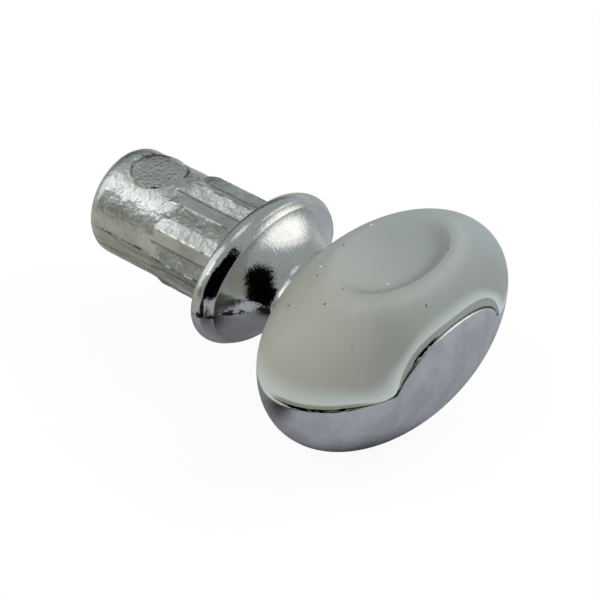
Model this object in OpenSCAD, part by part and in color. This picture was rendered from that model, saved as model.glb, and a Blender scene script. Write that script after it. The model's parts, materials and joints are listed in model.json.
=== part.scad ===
// Shelf support pin: a die-cast metal pin with an oval cup head, and the soft pad that a shelf rests on.
// The pin lies along X. It goes into the cabinet side towards -X and its head stands out towards +X.
// Z is up. The origin is on the pin's axis, on the collar's seat that touches the cabinet side.
// All sizes are in millimetres.

/* [Pin] */
// Diameter of the plain shank, which slides into the hole
pin_d = 4.8; // [4:0.1:5.4]
// Length of the pin from the collar's seat to its free end
pin_len = 7.5; // [7:0.1:12]
// Radius of the rounded edge at the free end
pin_edge_r = 0.75; // [0.2:0.05:0.8]

/* [Crush ribs] */
// Number of ribs round the pin
rib_count = 12; // [8:1:16]
// Length of the ribs, measured from the collar's seat
rib_len = 3.9; // [2:0.1:4.2]
// How far a rib's crest stands out of the plain shank
rib_h = 0.2; // [0.1:0.02:0.3]
// How far the valleys between the ribs lie under the plain shank's surface
rib_root = 0.05; // [0.02:0.01:0.08]
// Length over which a rib runs out into the shank
rib_lead = 0.5; // [0.2:0.05:1]

/* [Ejector mark] */
// Diameter of the round mark on top of the shank
mark_d = 2.5; // [1.5:0.1:2.6]
// Distance from the pin's free end to the mark's centre
mark_from_end = 2.1; // [2.1:0.1:2.4]
// How far the mark's raised rim lies below the top of the shank
mark_drop = 0.12; // [0.05:0.01:0.2]
// Width of the mark's raised rim
mark_rim = 0.08; // [0.05:0.01:0.15]
// Depth of the mark's floor below its rim
mark_depth = 0.06; // [0.03:0.01:0.1]

/* [Collar] */
// Width of the oval collar, across the pin
collar_w = 8.6; // [7.6:0.1:11]
// Height of the oval collar
collar_h = 6; // [5.8:0.1:7]
// Radius of the rounded rim round the collar's edge
rim_r = 0.55; // [0.45:0.05:0.65]
// Distance from the collar's seat to the rim's widest place
rim_x = 0.36; // [0.3:0.02:0.44]

/* [Neck] */
// Width of the neck, across the pin, where the collar's hollow front ends
neck_w = 4.6; // [4.2:0.1:5.4]
// Distance from the collar's seat to that place
neck_x = 3.4; // [3.35:0.05:3.6]

/* [Head] */
// Distance from the collar's seat to the middle of the head
head_x = 6.7; // [6.5:0.1:7.5]
// Length of the oval head, along the pin
head_l = 7.5; // [7.2:0.1:8.2]
// Width of the oval head, across the pin
head_w = 13.5; // [12:0.1:17]
// Height of the joint between metal and pad above the pin's axis
seam_z = 0.4; // [0:0.1:0.8]
// Depth of the metal cup below that joint
cup_depth = 4.85; // [4:0.05:6]

/* [Front lip] */
// Width of the lip where it leaves the cup
lip_w = 6.6; // [4:0.1:8]
// Height of the lip above the joint
lip_h = 1.8; // [1:0.1:2.1]
// Thickness of the lip
lip_t = 0.5; // [0.3:0.05:0.6]

/* [Pad] */
// Height of the pad's resting face above the joint
pad_h = 3.4; // [3.1:0.05:3.5]
// Height that the pad's dome would reach without the resting face
crown_h = 3.95; // [3.8:0.05:4.4]
// Thickness of the pad's side wall round the metal core
pad_wall = 1; // [0.8:0.05:1.2]
// Thickness of pad between the core and the bottom of the hollow
pad_floor = 0.9; // [0.7:0.05:1.1]
// Length of the shallow hollow in the pad's top, along the pin
hollow_l = 3.7; // [2.5:0.1:3.8]
// Width of that hollow, across the pin
hollow_w = 6.3; // [4:0.1:6.6]
// Depth of that hollow
hollow_depth = 0.6; // [0.3:0.05:0.7]
// Gap between the pad and the metal that it is pushed over
pad_fit = 0.05; // [0.03:0.01:0.08]
// Gap between the pad and the lip's ends
notch_gap = 0.12; // [0.08:0.01:0.3]
// Gap between the pad and the top of the lip
notch_rise = 0.4; // [0.1:0.05:0.5]

/* [Hidden] */
$fn = 96;
metal_colour = "#b4b7bd";
pad_colour = "#9da69d";
pin_r = pin_d / 2;
rib_r = pin_r + rib_h;
valley_r = pin_r - rib_root;
plain_from = rib_len - rib_lead;
start_turn = 67.5;              // turns the shank's start line to the side, clear of the mark
mark_x = mark_from_end - pin_len;
mark_rim_z = pin_r - mark_drop;
mark_floor_z = mark_rim_z - mark_depth;
oval = collar_h / collar_w;     // the collar and neck share one oval, this flat
collar_r = collar_w / 2;
neck_r = neck_w / 2;
rim_in = collar_r - rim_r;      // distance of the rim's centre from the axis
flare_r = (pow(neck_r - rim_in, 2) + pow(neck_x - rim_x, 2) - pow(rim_r, 2))
    / (2 * (rim_r - neck_r + rim_in));  // makes the collar's hollow front run smoothly into the rim
flare_in = neck_r + flare_r;    // distance of that hollow's centre from the axis
head_a = head_l / 2;
head_b = head_w / 2;
rest_z = seam_z + pad_h;
core_top_z = rest_z - hollow_depth - pad_floor - pad_fit;
big = 4 * head_w;               // a length beyond every piece, for cutting

// Turns a shape made along Z so that it points along X.
module along_x() {
    rotate([0, 90, 0]) children();
}

// A half space's worth of block: everything above the height z.
module above(z) {
    translate([-big / 2, -big / 2, z]) cube(big);
}

// The head's oval form, smaller all round by inset, with its upper half up high and lower half down deep.
module egg(inset, up) {
    translate([head_x, 0, seam_z])
        scale([head_a - inset, head_b - inset, up - inset]) sphere(1);
}

// The arch of the front lip, as a bar through the front half of the head, larger by side and rise.
module arch(side, rise) {
    translate([head_x, 0, seam_z])
        scale([1, lip_w / 2 + side, lip_h + rise]) along_x() cylinder(r = 1, h = head_l);
}

// The plain shank, from its rounded free end to where the ribs have their full height.
module shank() {
    rotate([0, -90, 0]) rotate(start_turn) rotate_extrude() difference() {
        translate([0, plain_from]) square([pin_r, pin_len - plain_from]);
        translate([pin_r - pin_edge_r, pin_len - pin_edge_r]) difference() {
            square(2 * pin_edge_r);
            circle(pin_edge_r);
        }
    }
}

// The ribbed stretch: pointed ribs side by side, which run out into the plain shank at their lead.
module ribs() {
    star = [for (i = [0 : 2 * rib_count - 1])
        let (r = i % 2 == 0 ? rib_r : valley_r, a = 180 * i / rib_count)
        [r * cos(a), r * sin(a)]];
    rotate([0, -90, 0]) intersection() {
        linear_extrude(rib_len) polygon(star);
        union() {
            cylinder(r = pin_d, h = plain_from);
            translate([0, 0, plain_from]) cylinder(r1 = rib_r, r2 = valley_r, h = rib_lead);
        }
    }
}

// The round mark that the ejector left on top of the shank stands out of it at both sides,
module mark_boss() {
    translate([mark_x, 0, 0]) cylinder(d = mark_d, h = mark_rim_z);
}

// and is cut into it at both ends, with a thin rim round a floor that is a little lower.
module mark_recess() {
    translate([mark_x, 0, mark_rim_z]) cylinder(d = mark_d, h = pin_d);
    translate([mark_x, 0, mark_floor_z]) cylinder(d = mark_d - 2 * mark_rim, h = pin_d);
}

// Half outline of the collar and neck: distance from the axis to the right, way along the pin upwards.
// It reaches behind the seat, where collar() then cuts it flat.
module collar_outline() {
    translate([rim_in, rim_x]) circle(rim_r);
    translate([0, -rim_r]) square([rim_in, rim_r + rim_x]);
    difference() {
        polygon([[0, 0], [rim_in, 0], [rim_in, rim_x], [flare_in, neck_x], [0, neck_x]]);
        translate([flare_in, neck_x]) circle(flare_r);
    }
}

// Oval collar with a rounded rim, whose front runs in a hollow curve down to the neck behind the head.
module collar() {
    difference() {
        scale([1, 1, oval]) along_x() {
            rotate_extrude() collar_outline();
            cylinder(r = neck_r, h = head_x);
        }
        translate([-big, -big / 2, -big / 2]) cube(big);
    }
}

// The metal cup under the pad, with the core that fills the pad and the lip that guards its front.
module cup() {
    difference() {
        egg(0, cup_depth);
        above(seam_z);
    }
    difference() {
        intersection() {
            egg(pad_wall, crown_h);
            above(seam_z - pad_wall);
        }
        above(core_top_z);
    }
    intersection() {
        difference() {
            egg(0, crown_h);
            egg(lip_t, crown_h);
        }
        above(seam_z - lip_t);
        arch(0, 0);
    }
}

module pin_body() {
    color(metal_colour) {
        difference() {
            union() {
                shank();
                ribs();
                mark_boss();
            }
            mark_recess();
        }
        collar();
        cup();
    }
}

module soft_pad() {
    color(pad_colour) difference() {
        intersection() {
            egg(0, crown_h);
            above(seam_z);
        }
        above(rest_z);
        translate([head_x, 0, rest_z])
            scale([hollow_l / 2, hollow_w / 2, hollow_depth]) sphere(1);
        difference() {
            egg(pad_wall - pad_fit, crown_h);
            above(core_top_z + pad_fit);
        }
        difference() {
            arch(notch_gap, notch_rise);
            egg(lip_t + pad_fit, crown_h);
        }
        scale([1, 1, oval]) along_x() cylinder(r = neck_r + notch_gap, h = head_x);
    }
}

pin_body();
soft_pad();
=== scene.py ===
# %% [markdown]
# # A shelf support pin
#
# A small die-cast pin goes into a cabinet side and carries a shelf on its oval head. The casting is plated
# metal: a round shank with crush ribs, an oval collar, a neck, and a cup with a lip at its front. A soft,
# frosted pad covers the top of the head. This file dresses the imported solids: it builds each piece again as
# a fine surface, gives it its finish, and lights it.
#
# All shapes are worked out in millimetres, because the real sizes are easy to read that way. They are turned
# into metres in one place, where a mesh is made.

# %% Load the fixed frame
import json
import math

import bpy
import numpy as np
from mathutils import Matrix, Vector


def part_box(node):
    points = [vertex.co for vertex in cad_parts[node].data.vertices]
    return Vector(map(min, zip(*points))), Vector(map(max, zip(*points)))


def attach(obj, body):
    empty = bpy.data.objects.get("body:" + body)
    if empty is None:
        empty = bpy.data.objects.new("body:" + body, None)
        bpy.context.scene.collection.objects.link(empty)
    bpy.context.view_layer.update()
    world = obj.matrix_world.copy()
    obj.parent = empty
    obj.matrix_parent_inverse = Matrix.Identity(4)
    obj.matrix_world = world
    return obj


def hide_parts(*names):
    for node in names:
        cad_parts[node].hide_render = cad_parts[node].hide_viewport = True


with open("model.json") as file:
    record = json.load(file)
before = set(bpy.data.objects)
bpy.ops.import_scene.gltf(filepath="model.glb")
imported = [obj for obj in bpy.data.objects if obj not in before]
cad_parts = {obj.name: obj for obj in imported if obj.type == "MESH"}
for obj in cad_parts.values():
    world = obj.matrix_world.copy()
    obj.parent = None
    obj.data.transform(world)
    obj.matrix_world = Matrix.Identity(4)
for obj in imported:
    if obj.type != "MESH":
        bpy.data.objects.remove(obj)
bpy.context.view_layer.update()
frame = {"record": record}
MM = 0.001

# %% [markdown]
# ## The camera
#
# The part is tiny, so it is seen through a long lens from about ten centimetres away, from the front and
# above. The camera's direction is given as an azimuth, an elevation and a small roll, and its axes are built
# from them. That keeps the numbers readable and the camera level, where a quaternion would hide both.

# %% Place the camera
CAMERA_AT = (51.79, -65.63, 61.85)
AZIMUTH, ELEVATION, ROLL = 36.98, 37.27, 2.79
LENS, SENSOR = 150.2, 36


def unit(v):
    """The vector or vectors, each divided by its own length."""
    v = np.asarray(v, float)
    return v / np.linalg.norm(v, axis=-1, keepdims=True)


def camera_axes(azimuth, elevation, roll):
    """The camera's right, up and back directions. Back points from the object to the camera."""
    a, e, t = (math.radians(x) for x in (azimuth, elevation, roll))
    back = np.array((math.cos(e) * math.sin(a), -math.cos(e) * math.cos(a), math.sin(e)))
    right = unit(np.cross(-back, (0, 0, 1)))
    up = np.cross(back, right)
    return (
        math.cos(t) * right + math.sin(t) * up,
        math.cos(t) * up - math.sin(t) * right,
        back,
    )


def placement(axes, at):
    """The matrix that turns an object to its right, up and back directions, at a place in millimetres."""
    matrix = np.eye(4)
    matrix[:3] = np.array([*axes, np.array(at) * MM]).T
    return Matrix(matrix.tolist())


def make_camera():
    """A camera object from the values above, set as the scene's camera."""
    data = bpy.data.cameras.new("camera")
    data.lens = LENS
    data.sensor_width = SENSOR
    data.clip_start, data.clip_end = 0.005, 10
    camera = bpy.data.objects.new("camera", data)
    bpy.context.scene.collection.objects.link(camera)
    camera.matrix_world = placement(camera_axes(AZIMUTH, ELEVATION, ROLL), CAMERA_AT)
    bpy.context.scene.camera = camera
    return camera


camera = make_camera()
print("camera at", [round(v, 4) for v in camera.matrix_world.translation], "m")

# %% [markdown]
# ## From a grid of points to a mesh
#
# Every piece here is a closed skin made of rings: a ring is one loop of points round the piece, and the rings
# follow each other from one end to the other. With all points in one array, the faces are only a rule about
# neighbours in the grid, so no loop over vertices is needed. A single point closes the skin at each end.

# %% Helper: a closed skin from rings
def grid_faces(rows, cols):
    """Quads between neighbouring rings, and a fan of triangles from the last two points to the end rings."""
    r, c = np.meshgrid(np.arange(rows - 1), np.arange(cols), indexing="ij")
    right = (c + 1) % cols
    quads = np.stack([r * cols + c, r * cols + right, (r + 1) * cols + right, (r + 1) * cols + c], -1)
    c = np.arange(cols)
    right = (c + 1) % cols
    last = (rows - 1) * cols
    first_fan = np.stack([right, c, np.full(cols, rows * cols)], -1)
    last_fan = np.stack([last + c, last + right, np.full(cols, rows * cols + 1)], -1)
    return quads.reshape(-1, 4), np.concatenate([first_fan, last_fan])


def skin(name, rings, start, end, masks=None):
    """A closed, smooth mesh object from rings of shape (rows, cols, 3) and the two points that close it.
    masks holds values of shape (rows, cols) by name, which the material can read as attributes."""
    rows, cols, _ = rings.shape
    quads, fans = grid_faces(rows, cols)
    points = np.concatenate([rings.reshape(-1, 3), [start, end]]) * MM
    mesh = bpy.data.meshes.new(name)
    mesh.vertices.add(len(points))
    mesh.vertices.foreach_set("co", points.astype(np.float32).ravel())
    mesh.loops.add(quads.size + fans.size)
    mesh.loops.foreach_set("vertex_index", np.concatenate([quads.ravel(), fans.ravel()]).astype(np.int32))
    mesh.polygons.add(len(quads) + len(fans))
    starts = np.concatenate([np.arange(len(quads)) * 4, quads.size + np.arange(len(fans)) * 3])
    mesh.polygons.foreach_set("loop_start", starts.astype(np.int32))
    mesh.polygons.foreach_set("use_smooth", np.ones(len(starts), bool))
    mesh.update(calc_edges=True)
    mesh.validate()
    for mask, values in (masks or {}).items():
        ends = [values[0].mean(), values[-1].mean()]
        attribute = mesh.attributes.new(mask, "FLOAT", "POINT")
        attribute.data.foreach_set("value", np.concatenate([values.ravel(), ends]).astype(np.float32))
    piece = bpy.data.objects.new(name, mesh)
    bpy.context.scene.collection.objects.link(piece)
    print(f"{name}: {len(quads) * 2 + len(fans)} triangles, volume {volume_of(points, quads, fans):.1f} mm3")
    return piece


def volume_of(points, quads, fans):
    """The enclosed volume in mm3, summed over the triangles: above zero when the faces point outwards."""
    tris = np.concatenate([quads[:, [0, 1, 2]], quads[:, [0, 2, 3]], fans])
    a, b, c = (points[tris[:, k]] / MM for k in range(3))
    return float(np.einsum("ij,ij->i", a, np.cross(b, c)).sum() / 6)


def smooth_step(t):
    """A value that rises from 0 to 1 with level ends, as t goes from 0 to 1."""
    t = np.clip(t, 0, 1)
    return t * t * (3 - 2 * t)


def bell(distance, width):
    """A soft bump of height 1 round 0: e to the power of -(distance / width) squared."""
    return np.exp(-((distance / width) ** 2))


def soft_min(a, b, width):
    """The smaller of two values, with the corner between them rounded over about the width."""
    h = np.clip(0.5 + 0.5 * (b - a) / width, 0, 1)
    return b + (a - b) * h - width * h * (1 - h)


def soft_max(a, b, width):
    """The larger of two values, with the corner between them rounded in the same way."""
    return -soft_min(-a, -b, width)


# %% [markdown]
# ## Sizes
#
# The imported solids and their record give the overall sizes: the shank's radius, the pin's end, the joint
# between metal and pad, and the head's middle, width, depth and front. The remaining sizes are details in
# millimetres. Most are the solids' own. The lip, the notch and some edges and run-outs differ from the
# solids by up to three tenths, and all of them stay inside the solids' box.

# %% Read the driving sizes
mounts = {m["name"]: m for m in frame["record"]["mounts"]}
body_low, body_high = (np.array(v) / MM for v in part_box("pin_body"))
pad_low, pad_high = (np.array(v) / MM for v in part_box("soft_pad"))

PIN_R = mounts["pin"]["dims"]["r_mm"]
PIN_END = body_low[0]
SEAM_Z = pad_low[2]
REST_Z = pad_high[2]
HEAD_X = mounts["shelf_rest"]["pos_m"][0] / MM
HEAD_A = body_high[0] - HEAD_X
HEAD_B = body_high[1]
CUP_DEPTH = SEAM_Z - body_low[2]
CROWN_H = 3.95  # the dome's height over the seam if its top were not level
print(f"pin radius {PIN_R}, end {PIN_END:.2f}, seam {SEAM_Z:.2f}, rest {REST_Z:.2f}, head at {HEAD_X:.2f}")

# %% [markdown]
# ## The shank
#
# The shank is a round bar that was cast with twelve pointed ribs next to the collar. They bite into the
# wood of the hole. Its section is given as a radius for each angle and each place along the pin, and the
# ribs are a star whose points are cut down by a cone at their lead. A boolean of a cylinder and wedges would
# give the same form, but a radius function keeps every grid line on a crest or a valley, so edges stay crisp.

# %% Shank: ribs, ramps and rounded end
RIBS = 12
HALF_PITCH = math.pi / RIBS
RIB_CREST = PIN_R + 0.2
RIB_VALLEY = PIN_R - 0.05
RIB_LEN, RIB_LEAD = 3.9, 0.75
END_ROUND = 0.75
UNEVEN = 0.006  # height of the casting's slow waves


def from_crest(angle):
    """The angle from the nearest rib's crest, from 0 to half a pitch."""
    return np.abs((angle + HALF_PITCH) % (2 * HALF_PITCH) - HALF_PITCH)


def star_radius(angle):
    """Radius of a star with straight flanks: r = crest valley sin(w) / (valley sin(w - a) + crest sin(a)),
    where w is half a rib's pitch and a is the angle from the nearest crest."""
    w, a = HALF_PITCH, from_crest(angle)
    return RIB_CREST * RIB_VALLEY * math.sin(w) / (RIB_VALLEY * np.sin(w - a) + RIB_CREST * np.sin(a))


def wobble(angle, x):
    """The casting's slow unevenness in millimetres: products of waves round the shank and along it."""
    waves = np.sin(5 * angle + 2.1 * x) * np.sin(4.3 * x + 2 * angle) + 0.6 * np.sin(11 * angle - 5.2 * x + 1)
    return UNEVEN * (waves + 0.4 * np.sin(17 * angle + 9.1 * x) * np.cos(13.7 * x - 3 * angle))


def painted_edge_shading(angle, x):
    """A mask for painted light on the ribs' edges: 0.5, with bells to 1 for a highlight on a crest and to
    0.17 for shade in a valley.
    """
    away = np.degrees(from_crest(angle))
    lines = 0.5 * bell(away, 1.3) - 0.33 * bell(math.degrees(HALF_PITCH) - away, 1.5)
    return 0.5 + lines * smooth_step((x + RIB_LEN - 0.06) / 0.1)


def shank_radius(angle, x):
    """Radius of the shank: the plain bar, or the ribs where they stand out of it, or the rounded end."""
    lead = np.clip((x + RIB_LEN) / RIB_LEAD, 0, 1)
    ribs = RIB_VALLEY + (star_radius(angle) - RIB_VALLEY) * (1 - (1 - lead) ** 1.4)
    plain = PIN_R + (RIB_VALLEY - PIN_R) * smooth_step(x + RIB_LEN)
    from_end = np.clip(x - PIN_END, 0, END_ROUND)
    rounded = PIN_R - END_ROUND + np.sqrt(END_ROUND**2 - (END_ROUND - from_end) ** 2)
    uneven = wobble(angle, x) * smooth_step((x - PIN_END) / 0.3)
    return np.where(x < PIN_END + END_ROUND, rounded, soft_max(plain, ribs, 0.015)) + uneven


# %% [markdown]
# The round mark on top of the shank was left by an ejector pin of the mould. It is level, so it stands out
# of the bar at its sides and is sunk into it at its ends. Grid lines that cross a circle make a ragged edge,
# so a square block of the grid is bent here until its inner squares are circles: the edge of the mark then
# lies on a grid line all the way round.

# %% Shank: the ejector mark
MARK_X = PIN_END + 2.1
MARK_R = 1.25
MARK_BLOCK = 1.33
MARK_RIM_Z = PIN_R - 0.12
MARK_FLOOR_Z = MARK_RIM_Z - 0.06
MARK_RIM = 0.08
MARK_BOW = 0.045


def square_to_round(u, v):
    """Bends a square of half side 1 so that its inner squares become circles, and leaves its border alone.
    The point moves in or out along its own direction, fully inside the mark and less towards the border."""
    reach = np.maximum(np.abs(u), np.abs(v))
    length = np.hypot(u, v)
    full = reach / np.maximum(length, 1e-9)
    share = 1 - smooth_step((reach - MARK_R / MARK_BLOCK) / (1 - MARK_R / MARK_BLOCK))
    factor = 1 + (full - 1) * share
    return u * factor, v * factor


def mark_height(distance, y, bar_z):
    """Height of the mark at a distance from its centre: the bar outside, then a thin rim, then a lower floor.
    Both sides of the mark are a little lower than its middle."""
    into = MARK_R - distance
    rim = bar_z + (MARK_RIM_Z - MARK_BOW * y * y - bar_z) * smooth_step(into / 0.04)
    return rim + (MARK_FLOOR_Z - MARK_RIM_Z) * smooth_step((into - MARK_RIM) / 0.03)


def mark_edges(x, y):
    """The same kind of mask as the ribs' edge mask, round the mark, for painted light and shade: on its near
    side a line of painted shade inside the rim and a painted highlight on it, and on its far side, towards
    +Y, a black painted shadow just outside."""
    distance = np.hypot(x, y)
    from_rim = distance - MARK_R
    far = smooth_step(((y + 0.25 * x) / np.maximum(distance, 0.1) - 0.25) / 0.2)
    near_lines = 0.3 * bell(from_rim + 0.04, 0.03) - 0.4 * bell(from_rim + 0.11, 0.032)
    black = 0.5 * bell((from_rim - 0.02) ** 2, 0.075**2)
    return 0.5 + near_lines * (1 - far) - black * far


# %% Shank: make the skin
def joined(*stretches):
    """Ascending values from stretches (start, stop, count) that follow each other, without doubles."""
    values = np.concatenate([np.linspace(*stretch) for stretch in stretches])
    return values[np.concatenate([[True], np.diff(values) > 1e-6])]


def mark_steps():
    """Distances of grid lines from the mark's centre. They crowd at its edge, and the first valley beside it
    and the next crest are among them, so that the ribs go on from the same columns."""
    valley, crest = PIN_R * math.sin(HALF_PITCH), PIN_R * math.sin(2 * HALF_PITCH)
    inner = ((0, valley, 14), (valley, 1.12, 13), (1.12, crest, 9))
    return joined(*inner, (crest, 1.256, 8), (1.27, MARK_BLOCK, 6))


INTO_COLLAR = 0.4


def make_shank():
    """The shank as rings from its free end to inside the collar. Round it, the columns are those of the mark
    on top and sixteen to each half pitch of the ribs elsewhere."""
    steps = mark_steps()
    round_x = PIN_END + END_ROUND * (1 - np.cos(np.linspace(0, math.pi / 2, 14)))
    ramp_end = RIB_LEAD - RIB_LEN
    before, lead = (-RIB_LEN - 0.13, -RIB_LEN, 4), (-RIB_LEN, ramp_end, 36)
    ramp_x = joined(before, lead, (ramp_end, -2.8, 8), (-2.8, INTO_COLLAR, 14))
    x = np.concatenate([round_x, MARK_X - steps[:0:-1], MARK_X + steps, ramp_x])
    top = np.arcsin(steps / PIN_R)
    rest_of_pitch = np.linspace(top[-1], math.pi / 4, 6)[1:-1]
    sides = np.linspace(math.pi / 4, 7 * math.pi / 4, 18 * 16 + 1)
    angle = np.concatenate([-top[:0:-1], top, rest_of_pitch, sides, 2 * math.pi - rest_of_pitch[::-1]])
    x, angle = np.meshgrid(x, angle, indexing="ij")
    y = PIN_R * np.sin(angle)
    block = MARK_BLOCK + 1e-6
    on_top = (np.abs(y) <= block) & (np.cos(angle) > 0) & (np.abs(x - MARK_X) <= block)
    u, v = square_to_round((x - MARK_X) / MARK_BLOCK, y / MARK_BLOCK)
    x = np.where(on_top, MARK_X + u * MARK_BLOCK, x)
    y_top = np.clip(v * MARK_BLOCK, -PIN_R, PIN_R)
    distance = np.hypot(x - MARK_X, y_top)
    bar_z = np.sqrt(np.maximum(PIN_R**2 - y_top**2, 0)) + wobble(np.arcsin(y_top / PIN_R), x)
    radius = shank_radius(angle, x)
    y = np.where(on_top, y_top, radius * np.sin(angle))
    z = np.where(on_top, mark_height(distance, y_top, bar_z), radius * np.cos(angle))
    edges = np.where(on_top, mark_edges(x - MARK_X, y_top), painted_edge_shading(angle, x))
    floor_of_mark = np.where(on_top, smooth_step((MARK_R - distance) / 0.1), 0)
    rings = np.stack([x, y, z], -1)
    shares = np.linspace(0.1, 0.94, 6)[:, None, None]
    flat = rings[0] * shares + np.array([PIN_END, 0, 0]) * (1 - shares)
    rings = np.concatenate([flat, rings])
    plain = np.zeros((len(flat), len(edges[0])))
    masks = {"painted_edge_shading": np.concatenate([plain + 0.5, edges])[::-1]}
    masks["mark_floor"] = np.concatenate([plain, floor_of_mark])[::-1]
    return skin("shank", rings[::-1], (INTO_COLLAR, 0, 0), (PIN_END, 0, 0), masks)


shank = make_shank()

# %% [markdown]
# ## Collar and neck
#
# The collar is an oval disc with a rounded rim. Its front runs in a hollow curve, like the bell of a
# trumpet, down to the neck that carries the head. Between the two lies a narrow bevel, which catches the
# light as a sharp slit. It is all one outline turned round the pin's axis and then made lower, which turns
# every round section into the same oval.

# %% Collar and neck: outline
COLLAR_R = 4.29
OVAL = 6.0 / 8.6
RIM_R, RIM_X, RIM_TURN = 0.57, 0.36, 49
HOLLOW_R, NECK_R, NECK_X = 2.58, 2.3, 3.4
BEVEL_X, BEVEL_BOW = 0.995, 0.012
FILLET, FILLET_X = 0.11, 2.65


def arc(centre, radius, start, stop, count):
    """Points (x, r) on an arc round centre, with angles in degrees from the x axis."""
    t = np.radians(np.linspace(start, stop, count))
    return np.stack([centre[0] + radius * np.cos(t), centre[1] + radius * np.sin(t)], -1)


def collar_outline():
    """The outline (x, r): the flat seat, the rim's arc, a slightly bowed bevel, the hollow front's arc and
    the neck, which a low fillet thickens towards the head."""
    back = math.degrees(math.acos(-RIM_X / RIM_R))
    rim = arc((RIM_X, COLLAR_R - RIM_R), RIM_R, back, RIM_TURN, 34)
    centre = (NECK_X, NECK_R + HOLLOW_R)
    meet = 180 + math.degrees(math.acos((NECK_X - BEVEL_X) / HOLLOW_R))
    front = arc(centre, HOLLOW_R, meet, 270, 64)
    along = np.linspace(0, 1, 12)[1:-1, None]
    bowed = 4 * along * (1 - along) * BEVEL_BOW * unit((1, 1))
    bevel = rim[-1] + (front[0] - rim[-1]) * along + bowed
    seat = np.stack([np.zeros(8), np.linspace(1.5, rim[0, 1] - 0.03, 8)], -1)
    into_head = np.stack([np.linspace(NECK_X + 0.1, HEAD_X - 1, 12), np.full(12, NECK_R)], -1)
    outline = np.concatenate([seat, rim, bevel, front, into_head])
    x = outline[:, 0]
    outline[:, 1] += FILLET * smooth_step((x - FILLET_X) / 0.5) * smooth_step((HEAD_X - 1.5 - x) / 0.8)
    return outline


def make_collar():
    """The outline turned round the pin's axis: y = r sin(angle), and z = r cos(angle) times the oval."""
    outline = collar_outline()
    angle = np.linspace(0, 2 * math.pi, 256, endpoint=False)
    x = np.repeat(outline[:, :1], len(angle), 1)
    y = outline[:, 1:] * np.sin(angle)
    z = outline[:, 1:] * np.cos(angle) * OVAL
    rings = np.stack([x, y, z], -1)
    return skin("collar", rings[::-1], (HEAD_X - 1, 0, 0), (0, 0, 0))


collar = make_collar()

# %% [markdown]
# ## The head
#
# The metal cup and the soft pad share one oval form, an ellipsoid whose upper and lower halves have their own
# heights. What makes them look right is their edges: the cup's edge runs level round the head and climbs
# over an arch at the front, and the pad's edge does the same with a slightly larger arch. Both arches stand
# a tenth of a millimetre off the middle. So both skins are made from an edge curve. Columns of points start
# at a pole, spread out over the ellipsoid, lean over to meet the edge curve, turn round it and go on inside.

# %% Head: the oval form
TURN = 2 * math.pi


def egg(plan_angle, lift, inset=0.0):
    """A point of the head's form. plan_angle goes round the head from its front, and lift is an angle from
    -90 degrees at the bottom to 90 at the top: the plan shrinks with its cosine, the height is its sine."""
    height = np.where(lift > 0, CROWN_H, CUP_DEPTH) - inset
    x = HEAD_X + (HEAD_A - inset) * np.cos(lift) * np.cos(plan_angle)
    y = (HEAD_B - inset) * np.cos(lift) * np.sin(plan_angle)
    z = SEAM_Z + height * np.sin(lift)
    return np.stack([x, y, z], -1)


def egg_normal(points):
    """The outward direction at points of the form: each coordinate divided by its half axis squared."""
    rel = points - [HEAD_X, 0, SEAM_Z]
    height = np.where(rel[..., 2] > 0, CROWN_H, CUP_DEPTH)
    axes = np.stack([np.full(height.shape, HEAD_A), np.full(height.shape, HEAD_B), height], -1)
    return unit(rel / axes**2)


def egg_angles(points, first):
    """Plan angle and lift of a row of points on the form, the reverse of egg. The plan angles run on without
    a jump from the one nearest to first."""
    x, y, z = (points - [HEAD_X, 0, SEAM_Z]).T
    lift = np.arctan2(z / np.where(z > 0, CROWN_H, CUP_DEPTH), np.hypot(x / HEAD_A, y / HEAD_B))
    plan = np.unwrap(np.arctan2(y / HEAD_B, x / HEAD_A))
    return plan + round((first - plan[0]) / TURN) * TURN, lift


# %% Head: the edge curve
def arch_height(y, half_width, height, drop=0.0, power=2.0, middle=0.0):
    """Height of an arch over the seam: half an ellipse round y = middle, whose centre may lie below the seam
    by drop. A power above 2 gives it fuller shoulders."""
    inside = np.clip(1 - np.abs((y - middle) / half_width) ** power, 0, None)
    return np.maximum((height + drop) * inside ** (1 / power) - drop, 0)


def resample(at, along, values, gain=0.0):
    """A closed row's values at other places along it. gain is what they grow by in one round."""
    return np.interp(at, along, np.append(values, values[0] + gain))


def averaged(values, window, gain=0.0):
    """A closed row averaged over a window whose weights add up to 1."""
    n = len(window)
    wrapped = np.concatenate([values[-n:] - gain, values, values[:n] + gain])
    return np.convolve(wrapped, window, "same")[n:-n]


COLUMNS = 512
EVEN = 6000  # places along the edge where it is averaged
FOOT_REACH = 1.06  # share of an arch's half width that gets extra fine places


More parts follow.
